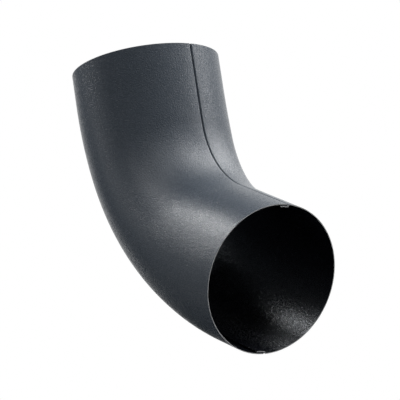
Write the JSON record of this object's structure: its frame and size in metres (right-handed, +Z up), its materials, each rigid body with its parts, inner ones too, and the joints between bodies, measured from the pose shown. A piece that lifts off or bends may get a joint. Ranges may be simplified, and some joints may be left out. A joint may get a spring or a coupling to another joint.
{
  "type": "downpipe elbow",
  "caption": "Round sheet-steel rainwater downpipe elbow with a 60 degree bend, made of two pressed half shells hooked together by folded seams along the inside and the outside of the bend.",
  "frame": {"origin": "centre of the upper end's rim", "axes": "+Z up along the upper end's axis, out of that end; the bend turns towards +X and down; the left half shell is on the -Y side"},
  "size_m": [0.1769, 0.1, 0.2199],
  "materials": {
    "coated_steel": "matte, finely grained polyester coat in anthracite on sheet steel"
  },
  "bodies": {
    "root": {"left_half_shell": "coated_steel", "right_half_shell": "coated_steel"}
  },
  "joints": []
}
